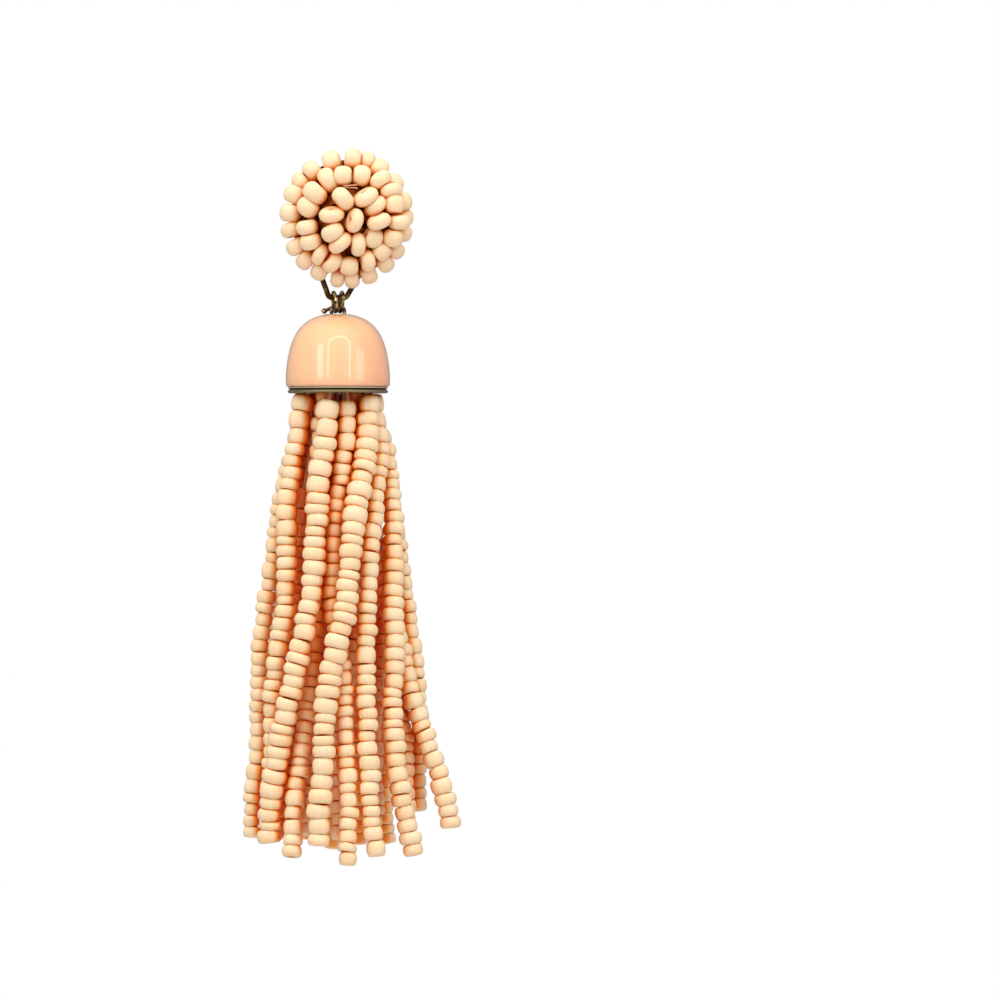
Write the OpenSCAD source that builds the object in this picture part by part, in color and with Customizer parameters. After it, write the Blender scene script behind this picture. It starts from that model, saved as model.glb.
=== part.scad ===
// Beaded drop earring: a seed-bead button stud, two jump rings, an enamelled bell cap and a tassel of bead strings.
// Millimetres. +Z is up, the button faces -Y, and the wearer's lobe is on +Y behind the plate.
// The origin is on the ear post's axis, at the back face of the stud's plate.

/* [Stud] */
// Across the beaded button
button_d = 15.6; // [15:0.1:16]
// Front to back over the beaded button and its plate
button_depth = 7; // [6.8:0.1:7.4]
// Across one bead of the button
button_bead_d = 2.5; // [2.3:0.1:2.6]
// Across the plate behind the beads
plate_d = 13.2; // [12.8:0.1:13.6]
// Thickness of the plate
plate_t = 0.8; // [0.7:0.1:1]
// Across the ear post
post_d = 0.9; // [0.8:0.05:1]
// Length of the ear post behind the plate
post_l = 11; // [9:0.5:12]

/* [Links] */
// How far the drop hangs to the side of the post
drop_side = -1.2; // [-1.4:0.1:-0.8]
// Height of the hanger's lowest wire below the post
hanger_drop = 9.22; // [9.2:0.02:9.4]
// Wire of the hanger
hanger_wire_d = 0.62; // [0.54:0.02:0.64]
// Across a jump ring, at the middle of its wire
ring_d = 2.24; // [2.1:0.02:2.3]
// Wire of the jump rings
ring_wire_d = 0.42; // [0.38:0.02:0.46]
// Wire of the eye pin
eye_wire_d = 0.44; // [0.38:0.02:0.46]

/* [Cap] */
// Height of the bell cap
cap_h = 9.03; // [8.8:0.01:9.2]
// Across the cap at its widest
cap_d = 12; // [11.8:0.1:12.2]
// Thickness of the enamel
enamel_t = 0.35; // [0.25:0.05:0.35]
// Thickness of the cap's metal
cap_wall = 0.4; // [0.3:0.05:0.4]
// Height of the bare metal rim
rim_h = 0.72; // [0.6:0.02:0.8]
// Hole in the top of the cap
cap_hole_d = 2.5; // [2.4:0.1:2.8]

/* [Tassel] */
// Share of the modelled strand length that is hung
strand_share = 1; // [0.8:0.02:1]
// Sides of a strand
strand_sides = 8; // [8:1:12]

/* [Hidden] */
gap = 0.05;
fine = 96;

// The button's beads lie one deep on a shallow dome. Their middles are on a sphere, which passes through the
// front bead and through the outermost ring, whose beads rest over the plate.
bead_seat = plate_t + 3 * gap;
bead_ring_r = (button_d - button_bead_d) / 2;
bead_rise = button_depth - button_bead_d - bead_seat;
bead_shell_r = (bead_ring_r * bead_ring_r + bead_rise * bead_rise) / (2 * bead_rise);
dome_centre = button_depth - button_bead_d / 2 - bead_shell_r;
dome_r = bead_shell_r + button_bead_d / 2;
sieve_r = bead_shell_r - button_bead_d / 2 - gap;
sieve_side = bead_ring_r - button_bead_d / 2 - gap;
sieve_wall = 0.5;
lip_r = sieve_side - sieve_wall - gap;
lip_h = 0.5;
lip_wall = 0.45;
plate_chamfer = 0.2;

// Rings of holes in the sieve: how far each ring is from the dome's middle, and how many holes it has.
SIEVE_RINGS = [[0, 1], [17, 6], [32, 11], [46, 15]];
SIEVE_TILT = 0;
SIEVE_COUNT = 1;
sieve_hole_d = 0.9;

// The ear post's pad and rounded tip.
pad_d = 2.6;
pad_t = 0.3;
post_tip = 0.35;

// The hanger is a soldered V of wire with a flat bottom.
hanger_depth = plate_t / 2;
hanger_half = 0.7;
hanger_bend_r = 0.45;
hanger_left_lean = 20;
hanger_left_leg = 3.9;
hanger_right_lean = 30;
hanger_right_leg = 3.5;

// The rings splay upwards and turn a little, and both pass through the middle of the eye below.
// Each wire clears the next one by a little more than the gap.
link_gap = gap + 0.02;
ring_side = ring_wire_d / 2 + 0.04;
ring_splay = 6;
ring_turn = 10;
eye_d = 2 * (ring_side + ring_wire_d / 2 + link_gap + eye_wire_d / 2);
eye_z = -hanger_drop + hanger_wire_d / 2 + link_gap + ring_wire_d / 2 - ring_d * cos(ring_splay);

// The eye pin's balled end and its stem.
tail_turn = 135;
tail_lean = 22;
tail_wire_d = eye_wire_d - 0.03;
tail_l = 1.12;
tail_bulb_d = 0.66;
stem_d = eye_wire_d - 0.04;
stem_l = 4.46;
stem_bore_d = stem_d + 4 * gap;

// The eye sinks into the hole in the cap's top, just far enough to keep the rings clear of the cap.
cap_top_z = eye_z - ring_wire_d / 2 - 2 * gap;
mouth_z = cap_top_z - cap_h;

// The cap's outside, from the rim up: share of the cap's half width, and share of its height.
CAP_OUTLINE = [
    [0.975, 0.045], [0.992, 0.085], [1.000, 0.142], [1.000, 0.200], [0.994, 0.270], [0.982, 0.350],
    [0.962, 0.440], [0.934, 0.530], [0.898, 0.615], [0.851, 0.695], [0.793, 0.768], [0.724, 0.830],
    [0.645, 0.882], [0.556, 0.925], [0.460, 0.958], [0.360, 0.981], [0.300, 0.992]
];
OUT = 0;
UP = 1;
rim_out = 0.958;
rim_chamfer = 0.12;

// The bound head of threads inside the cap.
head_flange_r = 4.8;
head_flange_low = 0.3;
head_flange_high = 0.8;
head_neck_r = 2;
head_neck_z = 5;
head_crown_low = 1.6;
head_top = 7.35;

// The strings of beads: 1 to 10 in front, from the left to the right of the button as it is faced, 11 to 15
// behind, and 16 to 20 between them. Each row has the bead's width, where its top is below the cap's mouth,
// its full reach below the mouth, its place sideways every 6 mm down, and front to back every 18 mm down.
BEAD = 0;
START = 1;
REACH = 2;
SIDE = 3;
DEPTH = 4;
side_step = 6;
depth_step = 18;
ring_step = 3;
STRANDS = [
    [2.00,  0.1, 51.0, [-3.9, -5.0, -6.4, -7.3, -8.2, -8.9, -9.0, -9.3, -9.8, -10.0], [ 1.0, -0.2, -1.3, -2.4]],
    [2.40,  0.3, 51.2, [-3.85, -4.8, -5.7, -5.8, -5.9, -6.8, -7.4, -7.5, -7.4, -7.3], [-1.2, -3.6, -4.3, -3.4]],
    [2.60,  0.9, 51.4, [-0.95, -1.6, -2.3, -2.6, -3.2, -4.4, -5.8, -6.8, -7.7, -7.7], [-3.8, -6.2, -7.6, -7.0]],
    [2.20, -0.6, 52.9, [-1.45, -2.2, -2.5, -2.4, -2.4, -2.8, -3.4, -4.2, -5.0, -5.2], [-1.3, -3.0, -5.4, -8.8]],
    [2.20,  1.0, 53.8, [ 1.2,  0.9,  0.1, -0.5, -0.6,  0.2,  0.8,  1.0,  1.3,  1.0], [-2.6, -4.5, -7.2, -10.0]],
    [2.60,  0.4, 51.6, [ 3.5,  3.4,  2.3,  1.4,  1.0, -0.4, -1.3, -1.6, -2.1, -2.1], [-1.8, -7.1, -9.3, -9.9]],
    [2.25,  0.3, 52.8, [ 3.9,  4.8,  4.4,  3.7,  3.4,  3.2,  3.3,  3.5,  3.8,  4.4], [ 0.7, -4.8, -7.7, -9.4]],
    [2.35,  0.1, 52.8, [ 3.0,  5.3,  6.2,  6.4,  6.3,  6.4,  6.2,  6.6,  7.6,  9.0], [ 3.0, -2.2, -5.9, -7.3]],
    [2.25, -0.6, 49.8, [ 1.7,  2.6,  3.6,  4.6,  5.6,  7.4,  8.8, 11.0, 12.7, 12.9], [ 0.0, -0.1, -3.4, -5.2]],
    [1.95,  0.1, 48.0, [1.05,  4.0,  5.8,  7.1,  7.9,  8.8,  9.3,  9.2,  9.3,  9.3], [ 4.0,  2.4, -0.4, -1.4]],
    [2.00,  0.1, 52.1, [ 0.6,  1.6,  2.6,  3.5,  4.2,  4.7,  5.1,  5.3,  5.5,  6.0],   [ 1.9,  3.8,  5.4,  6.4]],
    [2.00,  0.1, 52.3, [-1.0, -0.2,  0.5,  1.0,  1.5,  1.9,  2.2,  2.4,  2.5,  2.5],   [ 4.0,  6.0,  7.4,  8.4]],
    [2.00,  0.1, 52.8, [-2.8, -2.8, -2.4, -2.1, -1.8, -1.4, -1.1, -0.9, -0.8, -0.7],   [ 2.9,  6.0,  7.8,  8.9]],
    [2.00,  3.6, 51.6, [ 0.0, -0.2, -1.1, -2.2, -3.0, -3.5, -3.8, -3.9, -3.9, -3.9],   [-0.4,  2.9,  5.2,  6.8]],
    [2.00, -0.6, 51.8, [-1.5, -3.1, -4.6, -5.8, -6.8, -7.3, -7.5, -7.6, -7.7, -7.7],   [ 1.0,  2.8,  3.8,  4.6]],
    [2.00, 11.0, 50.5, [-3.2, -3.4, -3.9, -4.2, -4.6, -4.9, -5.1, -5.6, -6.0, -6.2],   [ 0.0, -0.3, -1.2, -1.6]],
    [1.90, 18.0, 50.0, [ 5.0,  5.0,  5.1,  5.1,  5.1,  4.7,  4.2,  4.2,  4.3,  4.4],   [ 2.1,  2.1,  0.6, -1.0]],
    [1.90, 31.5, 49.5, [ 6.0,  6.0,  6.0,  6.0,  6.0,  6.2,  7.2,  7.8,  8.0,  8.1],   [ 1.2,  1.2, -1.7, -4.2]],
    [1.90, 24.0, 50.8, [-1.2, -1.2, -1.2, -1.3, -1.6, -2.0, -2.5, -2.9, -3.1, -3.1],   [ 0.0,  0.0, -2.0, -4.0]],
    [2.10,  9.0, 51.2, [ 0.9,  0.9,  1.5,  2.2,  2.2,  1.4,  0.5,  0.1,  0.2,  0.2],   [-0.6, -1.6, -3.0, -5.0]]
];

function strand_name(i) = str("strand_", i < 9 ? "0" : "", i + 1);

// A smooth value between the entries of a list, where t counts entries.
function along(v, t) =
    let (
        i = max(0, min(floor(t), len(v) - 2)),
        u = t - i,
        a = v[max(i - 1, 0)],
        b = v[i],
        c = v[i + 1],
        d = v[min(i + 2, len(v) - 1)]
    )
    b + u / 2 * ((c - a) + u * ((2 * a - 5 * b + 4 * c - d) + u * (3 * b - a - 3 * c + d)));

function strand_middle(row, down) =
    [along(row[SIDE], down / side_step), along(row[DEPTH], down / depth_step), -down];

// Turns a shape drawn flat towards the viewer: its own Z points out of the button, and its Y points up.
module facing_front() {
    rotate([90, 0, 0]) children();
}

module at_drop(z) {
    translate([drop_side, -hanger_depth, z]) children();
}

// Half a section for turning: a dome of radius r round the beads' own centre, with a straight side, above a foot.
module dome_section(r, side, foot) {
    intersection() {
        translate([0, dome_centre]) circle(r, $fn = fine);
        translate([0, foot]) square([side, dome_centre + r - foot]);
    }
}

module bent_wire(bend_r, wire_d, from, turn) {
    rotate([0, 0, from]) rotate_extrude(angle = turn, $fn = fine)
        translate([bend_r, 0]) circle(d = wire_d, $fn = fine);
}

module straight_wire(wire_d, length) {
    cylinder(d = wire_d, h = length, $fn = fine);
}

module hanger_side(lean, leg) {
    translate([hanger_half, hanger_bend_r, 0]) {
        bent_wire(hanger_bend_r, hanger_wire_d, -90, 90 - lean);
        rotate([0, 0, -lean]) translate([hanger_bend_r, 0, 0])
            rotate([-90, 0, 0]) straight_wire(hanger_wire_d, leg);
    }
    rotate([0, 90, 0]) straight_wire(hanger_wire_d, hanger_half);
}

module hanger() {
    translate([drop_side, -hanger_drop, hanger_depth]) {
        hanger_side(hanger_right_lean, hanger_right_leg);
        mirror([1, 0, 0]) hanger_side(hanger_left_lean, hanger_left_leg);
    }
}

module plate() {
    r = plate_d / 2;
    rotate_extrude($fn = fine) polygon([
        [0, 0], [r - plate_chamfer, 0], [r, plate_chamfer], [r, plate_t - plate_chamfer],
        [r - plate_chamfer, plate_t], [lip_r, plate_t], [lip_r, plate_t + lip_h],
        [lip_r - lip_wall, plate_t + lip_h], [lip_r - lip_wall, plate_t], [0, plate_t]
    ]);
}

module ear_post() {
    mirror([0, 0, 1]) rotate_extrude($fn = fine) polygon([
        [0, -plate_t / 2], [pad_d / 2, -plate_t / 2], [pad_d / 2, pad_t], [post_d / 2, pad_t],
        [post_d / 2, post_l - post_tip], [post_d / 6, post_l], [0, post_l]
    ]);
}

module stud_back() {
    color("darkgoldenrod") facing_front() {
        plate();
        ear_post();
        hanger();
    }
}

module sieve_holes() {
    for (ring = SIEVE_RINGS)
        for (i = [0 : ring[SIEVE_COUNT] - 1])
            rotate([0, 0, 360 * (i + 0.5) / ring[SIEVE_COUNT]])
                rotate([0, ring[SIEVE_TILT], 0])
                    translate([0, 0, sieve_r - 1.5 * sieve_wall])
                        cylinder(d = sieve_hole_d, h = 2 * sieve_wall, $fn = fine);
}

module bead_sieve() {
    foot = plate_t + gap;
    color("peru") facing_front() difference() {
        rotate_extrude($fn = fine) difference() {
            dome_section(sieve_r, sieve_side, foot);
            dome_section(sieve_r - sieve_wall, sieve_side - sieve_wall, foot);
        }
        translate([0, 0, dome_centre]) sieve_holes();
    }
}

// The layer that the button's beads fill.
module bead_button() {
    color("navajowhite") facing_front() rotate_extrude($fn = fine) difference() {
        dome_section(dome_r, button_d / 2, bead_seat);
        dome_section(sieve_r + gap, sieve_side + gap, bead_seat);
    }
}

module jump_ring(side) {
    color("darkgoldenrod") at_drop(eye_z) translate([side * ring_side, 0, 0])
        rotate([0, side * ring_splay, ring_turn]) translate([0, 0, ring_d / 2]) rotate([0, 90, 0])
            rotate_extrude($fn = fine) translate([ring_d / 2, 0]) circle(d = ring_wire_d, $fn = fine);
}

module eye_pin() {
    color("darkgoldenrod") at_drop(eye_z) {
        facing_front() {
            rotate_extrude($fn = fine) translate([eye_d / 2, 0]) circle(d = eye_wire_d, $fn = fine);
            rotate([0, 0, tail_turn]) translate([eye_d / 2, 0, 0])
                rotate([0, 0, -tail_lean]) rotate([-90, 0, 0]) {
                    straight_wire(tail_wire_d, tail_l);
                    translate([0, 0, tail_l]) sphere(d = tail_bulb_d, $fn = fine);
                }
        }
        translate([0, 0, -eye_d / 2 - stem_l]) straight_wire(stem_d, stem_l);
    }
}

// The cap's outside drawn inwards by a step, with its lowest point moved to the given height.
function cap_line(inwards, low, high) = [
    for (p = CAP_OUTLINE)
        let (r = p[OUT] * cap_d / 2 - inwards, z = min(p[UP] * cap_h - inwards * (1 - p[OUT]) * 1.6, high))
            if (r > cap_hole_d / 2) [r, max(z, low)]
];

function turned_back(v) = [for (i = [len(v) - 1 : -1 : 0]) v[i]];

module cap_enamel() {
    outer = cap_line(0, rim_h + gap, cap_h);
    inner = cap_line(enamel_t, rim_h + gap, cap_h - enamel_t);
    color("lightsalmon") at_drop(mouth_z) rotate_extrude($fn = fine) polygon(concat(
        outer,
        [[cap_hole_d / 2 + enamel_t, cap_h], [cap_hole_d / 2 + enamel_t, cap_h - enamel_t]],
        turned_back(inner)
    ));
}

module cap_shell() {
    skin = enamel_t + gap;
    r = cap_d / 2;
    inner_r = r - skin - cap_wall;
    outer = cap_line(skin, rim_h, cap_h - skin);
    inner = cap_line(skin + cap_wall, 0, cap_h - skin - cap_wall);
    color("darkgoldenrod") at_drop(mouth_z) rotate_extrude($fn = fine) polygon(concat(
        [[inner[0][OUT], 0], [rim_out * r - rim_chamfer, 0], [rim_out * r, rim_chamfer], [rim_out * r, rim_h]],
        outer,
        [[cap_hole_d / 2 + enamel_t - gap, cap_h - skin], [cap_hole_d / 2 + enamel_t - gap, cap_h],
         [cap_hole_d / 2, cap_h], [cap_hole_d / 2, cap_h - skin - cap_wall]],
        turned_back(inner)
    ));
}

module tassel_head() {
    bore = stem_bore_d / 2;
    color("sienna") at_drop(mouth_z) rotate_extrude($fn = fine) polygon([
        [bore, head_crown_low], [head_flange_r, head_flange_low], [head_flange_r, head_flange_high],
        [head_neck_r, head_neck_z], [head_neck_r, head_top], [bore, head_top]
    ]);
}

// A string of beads as one tube, swept through level rings along the strand's own route.
module strand(row) {
    low = row[REACH] * strand_share;
    steps = round((low - row[START]) / ring_step);
    points = [
        for (k = [0 : steps], s = [0 : strand_sides - 1])
            strand_middle(row, row[START] + (low - row[START]) * k / steps)
                + row[BEAD] / 2 * [cos(360 * s / strand_sides), sin(360 * s / strand_sides), 0]
    ];
    sides = [
        for (k = [0 : steps - 1], s = [0 : strand_sides - 1])
            let (next = (s + 1) % strand_sides)
                [k * strand_sides + s, k * strand_sides + next,
                 (k + 1) * strand_sides + next, (k + 1) * strand_sides + s]
    ];
    top = [for (s = [strand_sides - 1 : -1 : 0]) s];
    bottom = [for (s = [0 : strand_sides - 1]) steps * strand_sides + s];
    color("burlywood") at_drop(mouth_z) polyhedron(points, concat([top], sides, [bottom]));
}

stud_back();
bead_sieve();
bead_button();
jump_ring(-1);  // jump_ring_1
jump_ring(1);  // jump_ring_2
eye_pin();
cap_shell();
cap_enamel();
tassel_head();
for (i = [0 : len(STRANDS) - 1])
    strand(STRANDS[i]);
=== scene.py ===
import math

import bmesh
import bpy
from mathutils import Matrix, Vector


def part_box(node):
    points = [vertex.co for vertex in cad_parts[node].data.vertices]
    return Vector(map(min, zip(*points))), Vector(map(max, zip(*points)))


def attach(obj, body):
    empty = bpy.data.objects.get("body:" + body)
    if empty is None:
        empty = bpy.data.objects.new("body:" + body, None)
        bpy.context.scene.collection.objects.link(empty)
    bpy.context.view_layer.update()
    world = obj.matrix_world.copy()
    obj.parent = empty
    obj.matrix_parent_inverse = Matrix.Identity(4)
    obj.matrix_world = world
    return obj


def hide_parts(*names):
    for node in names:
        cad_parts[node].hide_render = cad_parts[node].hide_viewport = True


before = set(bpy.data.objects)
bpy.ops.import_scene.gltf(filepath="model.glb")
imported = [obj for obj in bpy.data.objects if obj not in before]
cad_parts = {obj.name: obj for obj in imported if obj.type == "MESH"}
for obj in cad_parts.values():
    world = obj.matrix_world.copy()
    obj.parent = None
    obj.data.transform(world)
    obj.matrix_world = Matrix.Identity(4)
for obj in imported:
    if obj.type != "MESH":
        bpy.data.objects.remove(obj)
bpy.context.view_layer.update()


# Stud back: a round brass plate that rests on the lobe, the ear post behind it, a lip for the
# pierced dome, and a V of wire below that the links hang from, all soldered together. The plating
# is antiqued: brown where polish has settled and rubbed bright where it is touched.

MM = 0.001


class Socket:
    """A node socket for use in expressions: each operator adds the node that works it out."""

    def __init__(self, tree, socket=None):
        self.tree = tree
        self.socket = socket

    def node(self, kind, settings, inputs, output=0):
        """Adds a node: its settings first, then the values or links of its sockets, where a list
        holds the links that go to one socket together."""
        added = self.tree.nodes.new(kind)
        for name, value in settings.items():
            if name == "stops":
                ramp = added.color_ramp
                while len(ramp.elements) < len(value):
                    ramp.elements.new(1.0)
                for element, (place, colour) in zip(ramp.elements, value):
                    element.position, element.color = place, colour
            else:
                setattr(added, name, value)
        for name, value in inputs.items():
            for item in value if isinstance(value, list) else [value]:
                if isinstance(item, Socket):
                    self.tree.links.new(item.socket, added.inputs[name])
                else:
                    added.inputs[name].default_value = item
        return Socket(self.tree, added.outputs[output] if len(added.outputs) else None)

    def other(self, output):
        """Another output of the same node."""
        return Socket(self.tree, self.socket.node.outputs[output])

    def maths(self, operation, *values, **settings):
        return self.node(
            "ShaderNodeMath", {"operation": operation, **settings}, dict(enumerate(values))
        )

    def __add__(self, other):
        return self.maths("ADD", self, other)

    def __radd__(self, other):
        return self.maths("ADD", other, self)

    def __sub__(self, other):
        return self.maths("SUBTRACT", self, other)

    def __rsub__(self, other):
        return self.maths("SUBTRACT", other, self)

    def __mul__(self, other):
        return self.maths("MULTIPLY", self, other)

    def __rmul__(self, other):
        return self.maths("MULTIPLY", other, self)

    def __truediv__(self, other):
        return self.maths("DIVIDE", self, other)

    def __rtruediv__(self, other):
        return self.maths("DIVIDE", other, self)

    def clamped(self):
        return self.maths("ADD", self, 0.0, use_clamp=True)

    def parts(self):
        """The three parts of a vector."""
        first = self.node("ShaderNodeSeparateXYZ", {}, {"Vector": self}, "X")
        return first, first.other("Y"), first.other("Z")

    def between(self, low, high):
        """The colour this far from low to high."""
        return self.node("ShaderNodeMix", {"data_type": "RGBA"}, {0: self, 6: low, 7: high}, 2)

    def along(self, *stops):
        """The colour this far along a ramp of places and colours."""
        return self.node("ShaderNodeValToRGB", {"stops": stops}, {"Fac": self}, "Color")


class Finish:
    """A material with one Principled surface, whose constants are set on its own sockets."""

    def __init__(self, name, constants):
        self.material = bpy.data.materials.new(name)
        self.material.use_nodes = True
        self.tree = self.material.node_tree
        self.surface = self.tree.nodes["Principled BSDF"]
        for socket, value in constants.items():
            self.surface.inputs[socket].default_value = value
        self.start = Socket(self.tree)
        self.place = self.start.node("ShaderNodeTexCoord", {}, {}, "Object")

    def noise(self, per_metre, detail=2.0, stretch=None):
        """Clouds from 0 to 1 over the piece, so many a metre."""
        place = self.place
        if stretch:
            place = self.start.node("ShaderNodeMapping", {}, {"Vector": place, "Scale": stretch})
        return self.start.node(
            "ShaderNodeTexNoise", {}, {"Vector": place, "Scale": per_metre, "Detail": detail}, "Fac"
        )

    def bump(self, height, depth, strength):
        """A normal from a height of 0 to 1 that stands for this depth in metres."""
        return self.start.node(
            "ShaderNodeBump", {}, {"Height": height, "Distance": depth, "Strength": strength},
            "Normal",
        )

    def feed(self, **links):
        for socket, value in links.items():
            self.tree.links.new(value.socket, self.surface.inputs[socket.replace("_", " ")])


def antique_plate(name, bright, brown, worn, patches=900.0):
    """Gold plate with brown polish left in it. worn is the share that is rubbed bright, in so
    many patches a metre."""
    plate = Finish(name, {"Metallic": 1.0})
    patch = plate.noise(patches, detail=4.0)
    speck = plate.noise(5200.0)
    polish_left = 0.72 - worn * 0.5
    rubbed = ((patch * 0.65 + speck * 0.35 - polish_left) * 7.0).clamped()
    plate.feed(
        Base_Color=rubbed.between(brown, bright),
        Roughness=0.46 - rubbed * 0.2,
        Normal=plate.bump(speck * 0.6 + patch * 0.4, depth=0.03 * MM, strength=0.5),
    )
    return plate.material


def shade_round(shape, sharp):
    """Shades the mesh round, but for the edges that bend by more degrees than sharp."""
    for edge in shape.edges:
        edge.smooth = len(edge.link_faces) == 2 and edge.calc_face_angle() < math.radians(sharp)
    for face in shape.faces:
        face.smooth = True


def plain_mesh(shape, name):
    mesh = bpy.data.meshes.new(name)
    shape.to_mesh(mesh)
    shape.free()
    return mesh


def in_scene(name, data):
    """A new object in the scene, at the origin."""
    thing = bpy.data.objects.new(name, data)
    bpy.context.scene.collection.objects.link(thing)
    return thing


def placed(mesh, name, body, node):
    """An object of this mesh that rides on the body and stands for the CAD node."""
    piece = in_scene(name, mesh)
    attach(piece, body)
    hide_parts(node)
    return piece


def smooth_copy(node, name, body, material):
    """A CAD node's own shape with its corners joined and its curves shaded round."""
    shape = bmesh.new()
    shape.from_mesh(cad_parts[node].data)
    bmesh.ops.remove_doubles(shape, verts=shape.verts, dist=0.001 * MM)
    shade_round(shape, sharp=38)
    mesh = plain_mesh(shape, name)
    mesh.materials.append(material)
    return placed(mesh, name, body, node)


stud_gold = antique_plate(
    "antique gold plate", bright=(0.52, 0.35, 0.14, 1), brown=(0.070, 0.028, 0.009, 1), worn=0.34
)
stud_back = smooth_copy("stud_back", "plate_post_and_hanger", "stud", stud_gold)


# Pierced dome: thin brass pressed over the plate's lip. The beads are sewn through its holes, and
# it shows as a warm brown metal in the gaps between them.

dome_gold = antique_plate(
    "dulled dome brass", bright=(0.85, 0.40, 0.09, 1), brown=(0.30, 0.085, 0.014, 1), worn=0.40
)
sieve = smooth_copy("bead_sieve", "pierced_dome", "stud", dome_gold)


# Button: large opaque peach seed beads sewn one by one to the pierced dome, so they lie every way
# and crowd each other, and a few show an end of their hole. Waxed thread runs through them and
# lies open in the widest gap.

# The middle of each bead in mm (right, back, up), its width, its length along its hole, the way
# its hole runs as the button is faced (degrees from the right), and how many degrees that end of
# the hole is tipped forward.
BUTTON_BEADS = [
    (0.7, -5.7, -0.6, 2.9, 1.4, 165, 24), (-0.6, -5.5, 1.9, 2.9, 1.9, 40, 0),
    (2.0, -5.2, 2.1, 3.1, 1.6, 130, 24), (3.1, -4.7, 1.1, 3.0, 1.7, 130, 0),
    (3.5, -5.6, -0.7, 2.9, 1.6, 110, 0), (2.8, -4.6, -2.5, 2.5, 2.1, 160, 0),
    (1.1, -4.9, -3.3, 2.8, 1.6, -180, 0), (-0.9, -5.0, -3.1, 3.1, 1.6, 130, 0),
    (-1.8, -5.4, -1.9, 2.7, 1.9, 120, 0), (-1.9, -5.5, 0.1, 3.0, 1.5, 90, 24),
    (-2.3, -3.9, 4.1, 3.0, 2.0, 30, 0), (-0.6, -4.6, 4.6, 2.3, 2.0, -180, 0),
    (1.5, -4.1, 4.6, 2.5, 2.0, 170, 0), (3.7, -4.4, 4.1, 2.7, 1.7, 125, 0),
    (4.9, -4.4, 2.8, 2.7, 1.5, 100, 0), (5.3, -4.8, 1.3, 2.3, 2.1, 90, 0),
    (5.8, -4.5, -0.7, 2.7, 1.7, 95, 0), (5.1, -4.4, -2.5, 2.4, 2.0, 85, 0),
    (3.8, -4.0, -4.0, 2.2, 2.0, 45, 0), (2.2, -4.0, -5.1, 2.6, 1.6, -170, 0),
    (0.1, -3.9, -5.7, 2.2, 2.1, -180, 0), (-1.8, -3.9, -5.3, 2.7, 1.6, 140, 0),
    (-3.2, -3.8, -4.4, 2.6, 1.5, 150, 0), (-4.3, -4.0, -2.9, 2.6, 1.8, 105, 0),
    (-4.7, -4.1, -1.3, 2.6, 1.7, 100, 0), (-4.6, -4.1, 1.0, 2.7, 2.0, 50, 0),
    (-3.8, -4.3, 2.6, 3.0, 2.1, 50, 0), (-1.9, -2.2, 6.3, 2.6, 2.1, -165, 0),
    (0.5, -2.9, 6.6, 2.5, 1.9, 175, 0), (2.1, -2.1, 6.3, 2.4, 1.7, 160, 0),
    (3.5, -2.4, 5.4, 2.6, 2.0, 150, 0), (5.0, -2.3, 3.7, 2.7, 2.2, 125, 0),
    (6.0, -2.9, 1.6, 2.7, 2.1, 105, 0), (6.2, -2.3, -0.1, 2.6, 1.9, 90, 0),
    (6.0, -2.3, -1.8, 2.7, 1.9, 75, 0), (5.2, -2.3, -3.7, 2.7, 1.9, 55, 0),
    (4.1, -2.2, -5.2, 2.6, 1.9, 40, 0), (2.3, -2.2, -6.5, 2.5, 1.9, 20, 0),
    (0.4, -2.2, -7.0, 2.5, 1.7, 5, 0), (-1.2, -2.2, -6.9, 2.5, 1.6, -10, 0),
    (-3.2, -2.2, -6.1, 2.6, 1.9, -30, 0), (-4.8, -2.2, -4.9, 2.6, 1.9, -45, 0),
    (-5.9, -2.2, -3.4, 2.6, 1.8, -60, 0), (-6.5, -2.2, -1.5, 2.6, 1.7, -75, 0),
    (-6.6, -2.3, 0.4, 2.7, 2.0, -95, 0), (-6.1, -2.3, 2.5, 2.7, 2.1, -115, 0),
    (-5.4, -2.1, 4.0, 2.4, 1.7, -130, 0), (-4.1, -2.2, 5.2, 2.6, 1.9, -140, 0),
]
# Lengths of open thread in mm: the middle (right, back, up), the length and the way it runs.
LOOSE_THREADS = [(0.2, -5.2, 3.45, 1.7, 3), (0.3, -5.1, 3.2, 1.6, -4), (-1.5, -5.2, 2.85, 0.9, 60)]
# The middle of the dome's ball, which the holes lie level with.
BALL_MIDDLE = Vector((0, 2.07, 0))
LARGE_BEAD = [
    (0.10, 0.445), (0.135, 0.475), (0.20, 0.495), (0.26, 0.495), (0.33, 0.46), (0.39, 0.40),
    (0.44, 0.31), (0.475, 0.21), (0.495, 0.08),
]


def turned_skin(outline, sides, middle=(0.0, 0.0), unit=1.0):
    """The skin of a closed outline of radius and height, turned round an upright line."""
    shape = bmesh.new()
    turns = [2 * math.pi * side / sides for side in range(sides)]
    rows = [
        [
            shape.verts.new((
                (middle[0] + r * math.cos(a)) * unit, (middle[1] + r * math.sin(a)) * unit, z * unit
            ))
            for a in turns
        ]
        for r, z in outline
    ]
    for row, after in zip(rows, rows[1:] + rows[:1]):
        for s in range(sides):
            t = (s + 1) % sides
            shape.faces.new((row[s], after[s], after[t], row[t])).smooth = True
    return shape


def seed_bead(name, sides, outline):
    """A drilled bead of width 1 and length 1 round Z. Its outline is radius and height from the
    hole over the end to the middle of its side, and its lower half mirrors it."""
    outline = outline + [(r, -z) for r, z in reversed(outline) if z > 0]
    return in_scene(name, plain_mesh(turned_skin(outline, sides), name))


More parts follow.
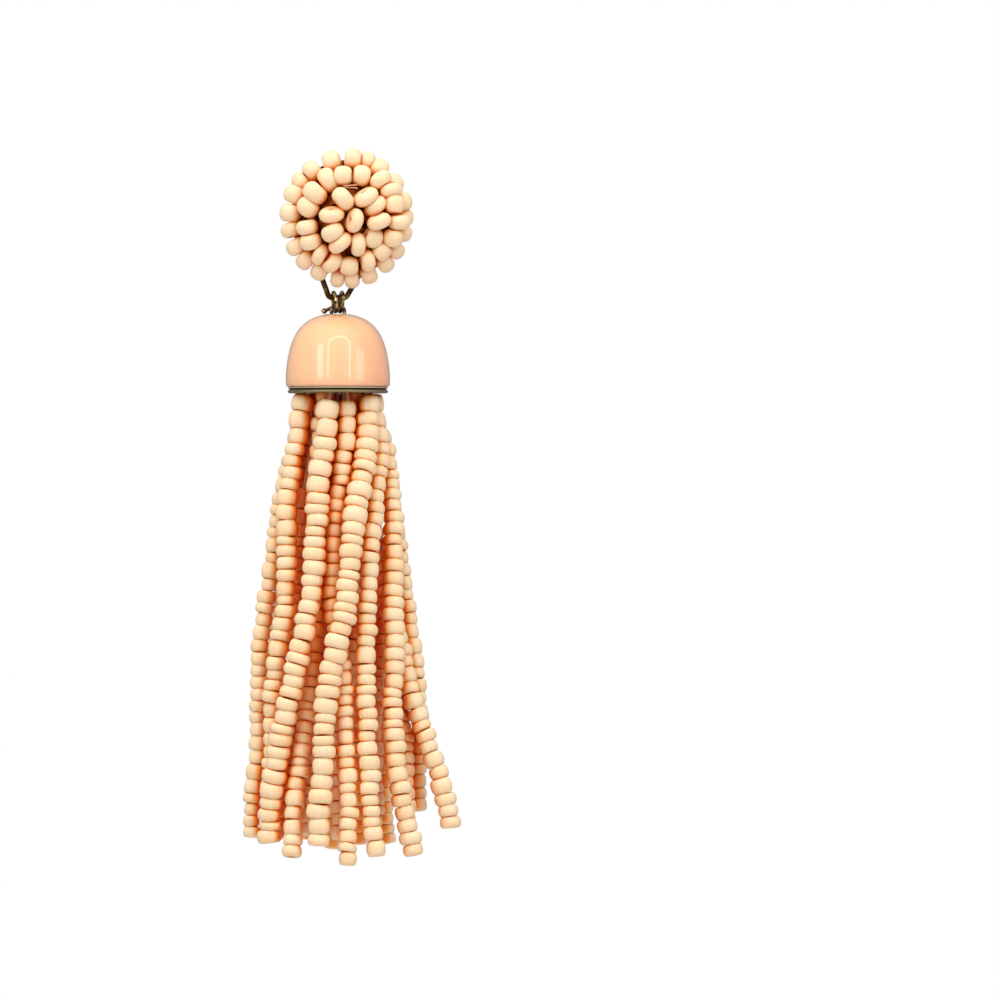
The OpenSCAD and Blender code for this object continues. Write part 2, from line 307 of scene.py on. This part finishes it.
def growing_tree(name, inputs):
    """An empty geometry node tree with named inputs: its start, and a socket for each input."""
    tree = bpy.data.node_groups.new(name, "GeometryNodeTree")
    for label, kind in {"Geometry": "Geometry", **inputs}.items():
        tree.interface.new_socket(label, in_out="INPUT", socket_type="NodeSocket" + kind)
    tree.interface.new_socket("Geometry", in_out="OUTPUT", socket_type="NodeSocketGeometry")
    start = Socket(tree)
    first = start.node("NodeGroupInput", {}, {})
    return start, {label: first.other(label) for label in ("Geometry", *inputs)}


def chance(seed, low, high):
    """A number drawn for each point or bead."""
    return seed.node("FunctionNodeRandomValue", {}, {2: low, 3: high, "Seed": seed}, 1)


def kept(geometry, name, value, data_type="FLOAT", domain="POINT"):
    """The geometry with this value kept on it under a name."""
    return geometry.node(
        "GeometryNodeStoreNamedAttribute", {"data_type": data_type, "domain": domain},
        {"Geometry": geometry, "Name": name, "Value": value},
    )


def read_back(start, name, data_type="FLOAT"):
    """The value that was kept under this name."""
    return start.node("GeometryNodeInputNamedAttribute", {"data_type": data_type}, {"Name": name})


def pointed(way):
    """The turn that points a bead's hole this way."""
    return way.node("FunctionNodeAlignRotationToVector", {"axis": "Z"}, {"Vector": way})


def in_finish(geometry, finish):
    return geometry.node("GeometryNodeSetMaterial", {}, {"Geometry": geometry, "Material": finish})


def made_real(copies):
    return copies.node("GeometryNodeRealizeInstances", {}, {"Geometry": copies})


def end_tree(start, *pieces):
    """Gives the pieces out together as what the tree makes."""
    together = start.node("GeometryNodeJoinGeometry", {}, {"Geometry": list(pieces)})
    start.node("NodeGroupOutput", {}, {"Geometry": together})
    return start.tree


def grown(mesh, tree, values, name):
    """The plain mesh that a geometry node tree makes of this one."""
    source = in_scene(name + "_source", mesh)
    modifier = source.modifiers.new("growing", "NODES")
    modifier.node_group = tree
    for item in tree.interface.items_tree:
        if item.in_out == "INPUT" and item.name in values:
            modifier[item.identifier] = values[item.name]
    graph = bpy.context.evaluated_depsgraph_get()
    result = bpy.data.meshes.new_from_object(source.evaluated_get(graph), depsgraph=graph)
    result.name = name
    bpy.data.objects.remove(source)
    return result


def sewn_bead_tree():
    """Sets a bead on each point, its hole along the point's "run", as long as its "long" and as
    wide as its "wide", with thread through it. A point of no width gets the thread alone."""
    start, given = growing_tree("sewn beads", {
        "Bead": "Object", "Seed": "Int", "Finish": "Material",
        "Thread width": "Float", "Thread end": "Float", "Thread finish": "Material",
    })
    points, seed = given["Geometry"], given["Seed"]
    turn = pointed(read_back(start, "run", "FLOAT_VECTOR"))
    wide, long = read_back(start, "wide"), read_back(start, "long")
    bead = start.node("GeometryNodeObjectInfo", {}, {"Object": given["Bead"]}, "Geometry")
    size = start.node(
        "ShaderNodeCombineXYZ", {}, {"X": wide, "Y": wide * chance(seed + 1, 0.92, 1.0), "Z": long}
    )
    beads = start.node(
        "GeometryNodeInstanceOnPoints", {},
        {"Points": points, "Selection": wide, "Instance": bead, "Rotation": turn, "Scale": size},
    )
    beads = kept(beads, "tint", chance(seed + 3, 0.0, 1.0), domain="INSTANCE")
    rod = start.node(
        "GeometryNodeMeshCylinder", {},
        {"Vertices": 8, "Side Segments": 1, "Radius": given["Thread width"] * 0.5, "Depth": 1.0},
        "Mesh",
    )
    reach = start.node(
        "ShaderNodeCombineXYZ", {}, {"X": 1.0, "Y": 1.0, "Z": long + given["Thread end"]}
    )
    threads = start.node(
        "GeometryNodeInstanceOnPoints", {},
        {"Points": points, "Instance": rod, "Rotation": turn, "Scale": reach},
    )
    return end_tree(
        start, in_finish(made_real(beads), given["Finish"]),
        in_finish(made_real(threads), given["Thread finish"]),
    )


def peach_glass(name, painted_light_lift):
    """Opaque glass with a soft skin. Each bead is a little its own shade. Where beads crowd
    together
    and where they face the inside of the tassel, the colour is painted darker and a deep orange:
    painted shade for the light that comes only through the other beads. The lift moves the whole
    batch up or down."""
    glass = Finish(name, {
        "Subsurface Weight": 0.5, "Subsurface Radius": (1.0, 0.42, 0.15),
        "Subsurface Scale": 0.9 * MM, "Coat Weight": 0.15, "Coat Roughness": 0.2,
    })
    tint = glass.start.node("ShaderNodeAttribute", {"attribute_name": "tint"}, {}, "Fac")
    inside = glass.start.node("ShaderNodeAttribute", {"attribute_name": "inside"}, {}, "Fac")
    cloud = glass.noise(650.0, detail=3.0)
    # Painted shade: the colour is darkened towards deep orange where ambient occlusion finds other
    # beads close, and where a bead faces the inside of the tassel.
    open_sky = glass.start.node(
        "ShaderNodeAmbientOcclusion", {"samples": 8}, {"Distance": 4.5 * MM}, "AO"
    )
    lit = glass.start.maths("MINIMUM", open_sky * 1.3 - 0.10, 0.86)
    shade = (lit + tint * 0.20 + cloud * 0.14 + painted_light_lift - inside * 1.1).clamped()
    glass.feed(
        Base_Color=shade.along(
            (0.0, (0.85, 0.13, 0.001, 1)), (0.20, (0.88, 0.26, 0.010, 1)),
            (0.36, (0.89, 0.40, 0.09, 1)), (0.52, (0.89, 0.53, 0.265, 1)),
            (0.74, (0.89, 0.615, 0.37, 1)), (1.0, (0.90, 0.68, 0.45, 1)),
        ),
        Roughness=0.30 + cloud * 0.16,
        Normal=glass.bump(glass.noise(1500.0, detail=1.0), depth=0.06 * MM, strength=0.35),
    )
    return glass.material


def waxed_thread():
    thread = Finish("waxed thread", {"Roughness": 0.55})
    fibre = thread.noise(4000.0)
    thread.feed(
        Base_Color=fibre.between((0.52, 0.20, 0.08, 1), (0.80, 0.42, 0.22, 1)),
        Normal=thread.bump(fibre, depth=0.03 * MM, strength=0.6),
    )
    return thread.material


def button_points():
    """A point for each bead of the button, with the direction of its hole, its length and its
    width, and one of no width for each loose thread."""
    rows = BUTTON_BEADS + [(x, y, z, 0.0, long, turn, 0) for x, y, z, long, turn in LOOSE_THREADS]
    mesh = bpy.data.meshes.new("button points")
    mesh.vertices.add(len(rows))
    for label, kind in (("run", "FLOAT_VECTOR"), ("long", "FLOAT"), ("wide", "FLOAT")):
        mesh.attributes.new(label, kind, "POINT")
    for i, (x, y, z, wide, long, turn, tip) in enumerate(rows):
        spot = Vector((x, y, z))
        normal = (spot - BALL_MIDDLE).normalized()
        turn, tip = math.radians(turn), math.radians(tip)
        right, up = math.cos(turn), math.sin(turn)
        level = Vector((right, -(right * normal.x + up * normal.z) / normal.y, up)).normalized()
        mesh.vertices[i].co = spot * MM
        mesh.attributes["run"].data[i].vector = level * math.cos(tip) + normal * math.sin(tip)
        mesh.attributes["long"].data[i].value = long * MM
        mesh.attributes["wide"].data[i].value = wide * MM
    return mesh


# The button's beads take the same glass lifted paler: painted light, as more light falls on the
# button than on the tassel.
lit_button_glass = peach_glass("peach glass painted lighter for the button", painted_light_lift=-0.06)
bead_thread = waxed_thread()
large_bead = seed_bead("large bead", 24, LARGE_BEAD)
button_mesh = grown(
    button_points(), sewn_bead_tree(),
    {"Bead": large_bead, "Seed": 5, "Finish": lit_button_glass, "Thread width": 0.17 * MM,
     "Thread end": -0.1 * MM, "Thread finish": bead_thread},
    "button_beads",
)
button_beads = placed(button_mesh, "button_beads", "stud", "bead_button")
bpy.data.objects.remove(large_bead)


# Jump rings: two rings of brass wire side by side, closed over the hanger's straight bottom, which
# carry the eye of the drop. The wire is rubbed bright in small patches, made brighter and smaller
# than on the plate so that they also stand as painted glints.

# Partly wear and partly painted glints: small, very bright rubbed patches.
link_gold_painted_glints = antique_plate(
    "antique gold wire with painted glints", bright=(0.98, 0.78, 0.42, 1), brown=(0.085, 0.04, 0.010, 1), worn=0.50,
    patches=2100.0,
)
for number in (1, 2):
    ring = smooth_copy(f"jump_ring_{number}", f"jump_ring_wire_{number}", "links", link_gold_painted_glints)


# Eye pin: brass wire bent into an eye, its balled end left standing at one side and its stem
# running down through the cap into the bound head of the tassel. It is duller than the rings.

pin_gold = antique_plate(
    "dulled gold wire", bright=(0.66, 0.50, 0.28, 1), brown=(0.10, 0.05, 0.022, 1), worn=0.46,
    patches=2100.0,
)
eye = smooth_copy("eye_pin", "eye_pin_wire", "drop", pin_gold)


# Cap: a pressed brass bell. Its bare rim stands below the enamel as a rolled bead over a groove
# and a band.

cap_low, cap_high = (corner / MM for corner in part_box("cap_shell"))
DROP = Vector(((cap_low.x + cap_high.x) / 2, (cap_low.y + cap_high.y) / 2, 0))
MOUTH = cap_low.z
# From here on heights are in mm from the cap's mouth up, and radii in mm from its middle line.
CAP_WIDE, CAP_TALL = 12.0, 9.03
# Share of the cap's half width, and share of its height.
CAP_OUTLINE = [
    (0.975, 0.045), (0.992, 0.085), (1.000, 0.142), (1.000, 0.200), (0.994, 0.270), (0.982, 0.350),
    (0.962, 0.440), (0.934, 0.530), (0.898, 0.615), (0.851, 0.695), (0.793, 0.768), (0.724, 0.830),
    (0.645, 0.882), (0.556, 0.925), (0.460, 0.958), (0.360, 0.981), (0.300, 0.992),
]
CAP_STEPS = 64
CAP_SIDES = 128
# The rim's outside from the enamel down and in: a roll, a groove and a band.
RIM = [
    (5.66, 0.72), (5.73, 0.68), (5.76, 0.60), (5.73, 0.53), (5.62, 0.49), (5.56, 0.43),
    (5.57, 0.37), (5.68, 0.33), (5.75, 0.26), (5.77, 0.15), (5.74, 0.05), (5.66, -0.01),
    (5.5, -0.03), (5.35, -0.01), (5.2, 0.05),
]
RIM_TOP = 0.78
# How far the brass lies inside the cap's outside line: its outer and its inner face.
BRASS_OUTER, BRASS_INNER = 0.40, 0.78


def eased(rows, t):
    """The smooth point at t along a list of rows, where t counts rows."""
    i = max(0, min(int(t), len(rows) - 2))
    u = t - i
    a, b, c, d = (rows[max(0, min(j, len(rows) - 1))] for j in (i - 1, i, i + 1, i + 2))
    return tuple(
        q + u / 2 * ((r - p) + u * ((2 * p - 5 * q + 4 * r - s) + u * (3 * q - p - 3 * r + s)))
        for p, q, r, s in zip(a, b, c, d)
    )


def bell_line(inward, lowest):
    """The cap's outside line moved inward, as radii and heights from the lowest height up."""
    rows = len(CAP_OUTLINE) - 1
    line = [eased(CAP_OUTLINE, rows * k / CAP_STEPS) for k in range(CAP_STEPS + 1)]
    line = [(r * CAP_WIDE / 2, z * CAP_TALL) for r, z in line]
    moved = []
    for k, (r, z) in enumerate(line):
        before, after = line[max(k - 1, 0)], line[min(k + 1, CAP_STEPS)]
        run = Vector((after[0] - before[0], after[1] - before[1])).normalized()
        moved.append((r - run.y * inward, z + run.x * inward))
    return [(r, z) for r, z in moved if z > lowest]


def turned_on_cap(name, outline, material):
    """A closed solid turned from a closed outline, round the cap's middle line."""
    raised = [(r, z + MOUTH) for r, z in outline]
    shape = turned_skin(raised, CAP_SIDES, DROP, MM)
    bmesh.ops.recalc_face_normals(shape, faces=shape.faces)
    shade_round(shape, sharp=42)
    mesh = plain_mesh(shape, name)
    mesh.materials.append(material)
    return mesh


def rolled_rim():
    """Antiqued brass on the rim, by its height: rubbed bright on its roll, with a painted highlight
    along it, black in its groove from polish and painted shade, olive below."""
    rim = Finish("antique gold rim with painted highlight and shade", {"Metallic": 1.0})
    _, _, up = rim.place.parts()
    cloud = rim.noise(1500.0, detail=3.0)
    level = ((up - MOUTH * MM) / MM * 1.25 + (cloud - 0.5) * 0.12).clamped()
    # The roll's pale stops are partly a painted highlight, the groove's black stop partly painted
    # shade.
    rim.feed(
        Base_Color=level.along(
            (0.0, (0.22, 0.17, 0.085, 1)), (0.30, (0.34, 0.28, 0.16, 1)),
            (0.42, (0.16, 0.12, 0.06, 1)), (0.52, (0.03, 0.018, 0.007, 1)),
            (0.62, (0.14, 0.10, 0.05, 1)), (0.72, (0.80, 0.72, 0.54, 1)),
            (0.90, (0.70, 0.60, 0.42, 1)),
        ),
        Roughness=0.38 + cloud * 0.14,
        Normal=rim.bump(cloud, depth=0.02 * MM, strength=0.4),
    )
    return rim.material


bell_outline = (
    list(reversed(RIM)) + [(5.48, 0.75)] + bell_line(BRASS_OUTER, RIM_TOP)
    + [(1.56, CAP_TALL - 0.36), (1.56, CAP_TALL), (1.28, CAP_TALL), (1.26, CAP_TALL - 0.75)]
    + list(reversed(bell_line(BRASS_INNER, RIM_TOP))) + [(5.1, 0.6), (5.1, 0.3)]
)
bell_mesh = turned_on_cap("cap_metal", bell_outline, rolled_rim())
bell = placed(bell_mesh, "cap_metal", "drop", "cap_shell")


# Cap enamel: one thick glossy coat of opaque peach enamel, flooded over the bell and stopped at
# the rim. It is painted darker and pinker as shade near its bottom, its top and its right side,
# with the faint swells of a poured coat.

ENAMEL_INNER = 0.34
ENAMEL_FOOT = 0.80


def peach_enamel():
    enamel = Finish("glossy peach enamel", {
        "Coat Weight": 1.0, "Coat Roughness": 0.02, "Subsurface Weight": 0.15,
        "Subsurface Radius": (1.0, 0.45, 0.2), "Subsurface Scale": 0.6 * MM,
    })
    right, _, up = enamel.place.parts()
    # Painted shade: darker and pinker near the bottom, near the top and on the right side.
    low = (((MOUTH + 2.4) * MM - up) * 420.0).clamped()
    top = ((up - (MOUTH + CAP_TALL - 1.2) * MM) * 500.0).clamped()
    side = ((right - (DROP.x + 1.5) * MM) * 260.0).clamped()
    smudge = enamel.noise(520.0, stretch=(1.0, 1.0, 0.3))
    painted_edge_shade = (low * 0.5 + top * 0.3 + side * 0.6 + (smudge - 0.5) * 0.7).clamped()
    enamel.feed(
        Base_Color=painted_edge_shade.between((0.93, 0.515, 0.27, 1), (0.87, 0.385, 0.22, 1)),
        Roughness=0.1 + smudge * 0.05,
        Normal=enamel.bump(enamel.noise(420.0, detail=1.0), depth=0.08 * MM, strength=0.10),
    )
    return enamel.material


coat_outline = (
    [(5.60, ENAMEL_FOOT), (5.74, 0.755), (5.86, 0.75)] + bell_line(0.0, ENAMEL_FOOT)
    + [(1.65, CAP_TALL - 0.04), (1.6, CAP_TALL - 0.30)]
    + list(reversed(bell_line(ENAMEL_INNER, ENAMEL_FOOT)))
)
coat_mesh = turned_on_cap("cap_enamel_coat", coat_outline, peach_enamel())
coat = placed(coat_mesh, "cap_enamel_coat", "drop", "cap_enamel")


# Tassel head: the strings' threads gathered, bound round and glued up inside the cap, painted
# near black as the shade inside it. It fills the cap's mouth behind the first beads.


def bound_thread():
    thread = Finish("bound thread painted dark as shade", {"Roughness": 0.75, "Sheen Weight": 0.3})
    fibre = thread.noise(1800.0, detail=3.0, stretch=(1.0, 1.0, 6.0))
    worn = (fibre * 0.5 + thread.noise(700.0) * 0.6 - 0.1).clamped()
    thread.feed(
        # Painted shade: near black and dark red-brown for the shade in the cap's mouth.
        Base_Color=worn.between((0.045, 0.006, 0.001, 1), (0.24, 0.055, 0.012, 1)),
        Normal=thread.bump(fibre, depth=0.08 * MM, strength=0.8),
    )
    return thread.material


head = smooth_copy("tassel_head", "bound_head", "drop", bound_thread())


# Tassel: twenty strings of small opaque peach beads, uneven in length as such beads are, each on
# its own thread from the bound head. The strings hang in a loose bell and part a little towards
# the ends.

# In mm: the string's bead width, how far its first bead and its last one reach below the cap's
# mouth, its place sideways at every SIDE_STEP down, and front to back at every DEPTH_STEP down.
SIDE_STEP, DEPTH_STEP = 6, 18
STRINGS = [
    (2.00, 0.1, 51.0, (-3.9, -5.0, -6.4, -7.3, -8.2, -8.9, -9.0, -9.3, -9.8, -10.0),
     (1.0, -0.2, -1.3, -2.4)),
    (2.40, 0.3, 51.2, (-3.85, -4.8, -5.7, -5.8, -5.9, -6.8, -7.4, -7.5, -7.4, -7.3),
     (-1.2, -3.6, -4.3, -3.4)),
    (2.60, 0.9, 51.4, (-0.95, -1.6, -2.3, -2.6, -3.2, -4.4, -5.8, -6.8, -7.7, -7.7),
     (-3.8, -6.2, -7.6, -7.0)),
    (2.20, -0.6, 52.9, (-1.45, -2.2, -2.5, -2.4, -2.4, -2.8, -3.4, -4.2, -5.0, -5.2),
     (-1.3, -3.0, -5.4, -8.8)),
    (2.20, 1.0, 53.8, (1.2, 0.9, 0.1, -0.5, -0.6, 0.2, 0.8, 1.0, 1.3, 1.0),
     (-2.6, -4.5, -7.2, -10.0)),
    (2.60, 0.4, 51.6, (3.5, 3.4, 2.3, 1.4, 1.0, -0.4, -1.3, -1.6, -2.1, -2.1),
     (-1.8, -7.1, -9.3, -9.9)),
    (2.25, 0.3, 52.8, (3.9, 4.8, 4.4, 3.7, 3.4, 3.2, 3.3, 3.5, 3.8, 4.4),
     (0.7, -4.8, -7.7, -9.4)),
    (2.35, 0.1, 52.8, (3.0, 5.3, 6.2, 6.4, 6.3, 6.4, 6.2, 6.6, 7.6, 9.0),
     (3.0, -2.2, -5.9, -7.3)),
    (2.25, -0.6, 49.8, (1.7, 2.6, 3.6, 4.6, 5.6, 7.4, 8.8, 11.0, 12.7, 12.9),
     (0.0, -0.1, -3.4, -5.2)),
    (1.95, 0.1, 48.0, (1.05, 4.0, 5.8, 7.1, 7.9, 8.8, 9.3, 9.2, 9.3, 9.3),
     (4.0, 2.4, -0.4, -1.4)),
    (2.00, 0.1, 52.1, (0.6, 1.6, 2.6, 3.5, 4.2, 4.7, 5.1, 5.3, 5.5, 6.0),
     (1.9, 3.8, 5.4, 6.4)),
    (2.00, 0.1, 52.3, (-1.0, -0.2, 0.5, 1.0, 1.5, 1.9, 2.2, 2.4, 2.5, 2.5),
     (4.0, 6.0, 7.4, 8.4)),
    (2.00, 0.1, 52.8, (-2.8, -2.8, -2.4, -2.1, -1.8, -1.4, -1.1, -0.9, -0.8, -0.7),
     (2.9, 6.0, 7.8, 8.9)),
    (2.00, 3.6, 51.6, (0.0, -0.2, -1.1, -2.2, -3.0, -3.5, -3.8, -3.9, -3.9, -3.9),
     (-0.4, 2.9, 5.2, 6.8)),
    (2.00, -0.6, 51.8, (-1.5, -3.1, -4.6, -5.8, -6.8, -7.3, -7.5, -7.6, -7.7, -7.7),
     (1.0, 2.8, 3.8, 4.6)),
    (2.00, 11.0, 50.5, (-3.2, -3.4, -3.9, -4.2, -4.6, -4.9, -5.1, -5.6, -6.0, -6.2),
     (0.0, -0.3, -1.2, -1.6)),
    (1.90, 18.0, 50.0, (5.0, 5.0, 5.1, 5.1, 5.1, 4.7, 4.2, 4.2, 4.3, 4.4),
     (2.1, 2.1, 0.6, -1.0)),
    (1.90, 31.5, 49.5, (6.0, 6.0, 6.0, 6.0, 6.0, 6.2, 7.2, 7.8, 8.0, 8.1),
     (1.2, 1.2, -1.7, -4.2)),
    (1.90, 24.0, 50.8, (-1.2, -1.2, -1.2, -1.3, -1.6, -2.0, -2.5, -2.9, -3.1, -3.1),
     (0.0, 0.0, -2.0, -4.0)),
    (2.10, 9.0, 51.2, (0.9, 0.9, 1.5, 2.2, 2.2, 1.4, 0.5, 0.1, 0.2, 0.2),
     (-0.6, -1.6, -3.0, -5.0)),
]
BEAD_LENGTH = 1.46
SMALL_BEAD = [(0.19, 0.5), (0.40, 0.47), (0.482, 0.27), (0.505, 0.0)]
# A string that starts lower than this starts behind the others' beads, and its thread comes to it
# from nearer the middle.
SHOWN_START = 4


def string_route(first, last, sides, depths):
    """The thread's route in mm, out of the head and along the string in steps of about 1 mm. Also
    the length before the first bead."""
    def spot(down):
        x, = eased([(s,) for s in sides], down / SIDE_STEP)
        y, = eased([(d,) for d in depths], down / DEPTH_STEP)
        return Vector((DROP.x + x, DROP.y + y, MOUTH - down))

    start = spot(first)
    share = 0.75 if first < SHOWN_START else 0.5
    top = Vector((
        DROP.x + (start.x - DROP.x) * share, DROP.y + (start.y - DROP.y) * share, MOUTH + 1.0
    ))
    lead = [top, start + Vector((0, 0, 0.02))]
    count = round(last - first)
    beaded = [spot(first + (last - first) * k / count) for k in range(count + 1)]
    return lead + beaded, (lead[1] - lead[0]).length


def inner_shade_depth(start):
    """How far a point lies in the tassel and faces its middle, from 0 to 1, which sets how much
    shade is painted on it. The tassel is taken as a bell that leans forwards and a little to the
    right."""
    mouth = (DROP.x * MM, DROP.y * MM, MOUTH * MM)
    place = start.node("GeometryNodeInputPosition", {}, {})
    right, back, up = start.node(
        "ShaderNodeVectorMath", {"operation": "SUBTRACT"}, {0: place, 1: mouth}
    ).parts()
    faces_right, faces_back, _ = start.node("GeometryNodeInputNormal", {}, {}).parts()
    right, back = right + up * 0.02, back - up * 0.045
    reach = start.maths("SQRT", right * right + back * back)
    outward = (faces_right * right + faces_back * back) / reach
    bell_radius = 4.8 * MM - up * 0.125
    inside = (0.95 - reach / bell_radius * 0.75 - outward * 0.55).clamped()
    return inside * inside


def strung_bead_tree():
    """Fills a route with beads of uneven length and draws the thread through them."""
    start, given = growing_tree("strung beads", {
        "Bead": "Object", "Bead width": "Float", "Bead length": "Float", "Lead": "Float",
        "Thread width": "Float", "Seed": "Int", "Finish": "Material", "Thread finish": "Material",
    })
    seed, lead = given["Seed"], given["Lead"]
    route = start.node("GeometryNodeMeshToCurve", {}, {"Mesh": given["Geometry"]})
    run = start.node("GeometryNodeCurveLength", {}, {"Curve": route}) - lead
    count = start.maths("ROUND", run / given["Bead length"])
    points = start.node("GeometryNodePoints", {}, {"Count": count})

    # The first beads of a string are drawn a little longer than the rest.
    early = ((3.0 - start.node("GeometryNodeInputIndex", {}, {})) * 0.14).clamped()
    share = (chance(seed + 1, 0.65, 1.0) + chance(seed + 2, 0.0, 0.45)) * (1.0 + early)
    before = start.node("GeometryNodeAccumulateField", {}, {"Value": share}, "Trailing")
    total = before.other("Total")
    along = lead + run * ((before + share * 0.5) / total)
    on_route = start.node(
        "GeometryNodeSampleCurve", {"mode": "LENGTH"}, {"Curves": route, "Length": along},
        "Position",
    )
    slip = start.node("ShaderNodeCombineXYZ", {}, {
        "X": chance(seed + 3, -0.14 * MM, 0.14 * MM), "Y": chance(seed + 4, -0.1 * MM, 0.1 * MM),
    })
    points = kept(points, "long", run * (share / total))
    points = kept(points, "run", on_route.other("Tangent"), "FLOAT_VECTOR")
    points = start.node(
        "GeometryNodeSetPosition", {}, {"Geometry": points, "Position": on_route, "Offset": slip}
    )

    tilt = start.node("ShaderNodeCombineXYZ", {}, {
        "X": chance(seed + 5, -0.10, 0.10), "Y": chance(seed + 6, -0.12, 0.12),
        "Z": chance(seed + 7, -3.0, 3.0),
    })
    turn = start.node(
        "FunctionNodeRotateRotation", {"rotation_space": "LOCAL"},
        {"Rotation": pointed(read_back(start, "run", "FLOAT_VECTOR")),
         "Rotate By": start.node("FunctionNodeEulerToRotation", {}, {"Euler": tilt})},
    )
    width = given["Bead width"] * chance(seed + 8, 0.93, 1.16)
    size = start.node(
        "ShaderNodeCombineXYZ", {}, {"X": width, "Y": width, "Z": read_back(start, "long") * 1.03}
    )
    bead = start.node("GeometryNodeObjectInfo", {}, {"Object": given["Bead"]}, "Geometry")
    beads = start.node(
        "GeometryNodeInstanceOnPoints", {},
        {"Points": points, "Instance": bead, "Rotation": turn, "Scale": size},
    )
    beads = kept(beads, "tint", chance(seed + 9, 0.0, 1.0), domain="INSTANCE")
    # Each bead keeps how much shade is painted on it for facing the inside of the tassel.
    beads = kept(made_real(beads), "inside", inner_shade_depth(start))
    ring = start.node(
        "GeometryNodeCurvePrimitiveCircle", {},
        {"Resolution": 8, "Radius": given["Thread width"] * 0.5},
    )
    thread = start.node(
        "GeometryNodeCurveToMesh", {}, {"Curve": route, "Profile Curve": ring, "Fill Caps": True}
    )
    return end_tree(
        start, in_finish(beads, given["Finish"]), in_finish(thread, given["Thread finish"])
    )


bead_glass = peach_glass("opaque peach glass", painted_light_lift=-0.17)
small_bead = seed_bead("small bead", 9, SMALL_BEAD)
string_tree = strung_bead_tree()
for number, (width, first, last, sides, depths) in enumerate(STRINGS, 1):
    route, lead = string_route(first, last, sides, depths)
    line = bpy.data.meshes.new("route")
    line.from_pydata([p * MM for p in route], [(k, k + 1) for k in range(len(route) - 1)], [])
    string_mesh = grown(
        line, string_tree,
        {"Bead": small_bead, "Bead width": width * MM, "Bead length": BEAD_LENGTH * MM,
         "Lead": lead * MM, "Thread width": 0.45 * MM, "Seed": 20 * number, "Finish": bead_glass,
         "Thread finish": bead_thread},
        f"bead_string_{number:02d}",
    )
    string = placed(string_mesh, f"bead_string_{number:02d}", "drop", f"strand_{number:02d}")
bpy.data.objects.remove(small_bead)


# Studio: a pale floor well below the earring, a soft room that is dimmer behind, a softbox
# overhead, an arch and two banks of light that show in the enamel, and the camera square to the
# button, level with the tassel.

FLOOR_CORNERS = [(-1.2, -1.2, -0.6), (1.2, -1.2, -0.6), (1.2, 0.7, -0.6), (-1.2, 0.7, -0.6)]
EARRING_MIDDLE = Vector((0.0, 0.0, -0.033))
CAP_MIDDLE = Vector((-0.0012, 0.0, -0.016))
LAMP_DISTANCE = 0.4
# Degrees sideways and up from the cap's own front: up one side, over in half a ring, and down.
ARCH = [(-21, 1), (-22.5, 20)] + [
    (4.1 - 29.2 * math.cos(a), 36.5 + 15.3 * math.sin(a))
    for a in (math.pi * k / 16 for k in range(17))
] + [(27.8, 20), (26, 1)]

paper = Finish("pale floor", {"Roughness": 0.9})
paper.feed(Base_Color=paper.noise(3.0).between((0.80, 0.80, 0.79, 1), (0.84, 0.84, 0.83, 1)))
floor_mesh = bpy.data.meshes.new("floor")
floor_mesh.from_pydata(FLOOR_CORNERS, [], [(0, 1, 2, 3)])
floor_mesh.materials.append(paper.material)
floor = in_scene("floor", floor_mesh)


def lamp_panel(name, long, wide, watts):
    """A rectangle of light."""
    panel = bpy.data.lights.new(name, "AREA")
    panel.shape, panel.size, panel.size_y = "RECTANGLE", long, wide
    panel.energy = watts
    return in_scene(name, panel)


def light_bar(name, start, end, wide, glow):
    """A straight bar of light that faces the cap, from its two ends in degrees sideways and up
    from the cap's own front, with its glow in watts a square metre."""
    ends = []
    for sideways, up in (start, end):
        a, e = math.radians(sideways), math.radians(up)
        way = Vector((math.sin(a) * math.cos(e), -math.cos(a) * math.cos(e), math.sin(e)))
        ends.append(CAP_MIDDLE + LAMP_DISTANCE * way)
    run = ends[1] - ends[0]
    middle = (ends[0] + ends[1]) / 2
    back = (middle - CAP_MIDDLE).normalized()
    along = (run - back * run.dot(back)).normalized()
    bar = lamp_panel(name, run.length, wide, glow * run.length * wide)
    bar.matrix_world = Matrix((along, back.cross(along), back)).transposed().to_4x4()
    bar.location = middle


softbox = lamp_panel("overhead softbox", 1.6, 0.8, 8.6)
softbox.data.color = (1.0, 0.97, 0.93)
softbox.location = (-0.10, -0.26, 0.80)
softbox.rotation_euler = (EARRING_MIDDLE - softbox.location).to_track_quat("-Z", "Y").to_euler()
softbox.visible_glossy = False
light_bar("left bank", (-38, 1), (-46.5, 34), 0.095, 7.0)
light_bar("right bank", (47, -2), (56.5, 26), 0.13, 4.4)
for number, (start, end) in enumerate(zip(ARCH, ARCH[1:])):
    light_bar(f"arch {number}", start, end, 0.03, 8.0)

world = bpy.data.worlds.new("soft room")
world.use_nodes = True
room = Socket(world.node_tree)
_, forward, upward = room.node("ShaderNodeTexCoord", {}, {}, "Generated").parts()
lit = (0.42 - forward * 0.44 + upward * 0.42).clamped()
walls = lit.between((0.34, 0.33, 0.32, 1), (0.97, 0.95, 0.93, 1))
glow = room.node("ShaderNodeBackground", {}, {"Color": walls, "Strength": 0.92})
white = room.node("ShaderNodeBackground", {}, {"Color": (1, 1, 1, 1), "Strength": 1.0})
seen = room.node("ShaderNodeLightPath", {}, {}, "Is Camera Ray")
both = room.node("ShaderNodeMixShader", {}, {0: seen, 1: glow, 2: white})
room.tree.links.new(both.socket, room.tree.nodes["World Output"].inputs["Surface"])
bpy.context.scene.world = world
bpy.context.scene.view_settings.view_transform = "Standard"

lens = bpy.data.cameras.new("camera")
lens.sensor_width = 36.0
lens.lens = 250.4
lens.shift_x = 0.1517
lens.clip_start = 0.01
camera = in_scene("camera", lens)
camera.location = (0.0, -0.8, -0.0325)
camera.rotation_euler = (math.radians(90), 0, 0)
bpy.context.scene.camera = camera
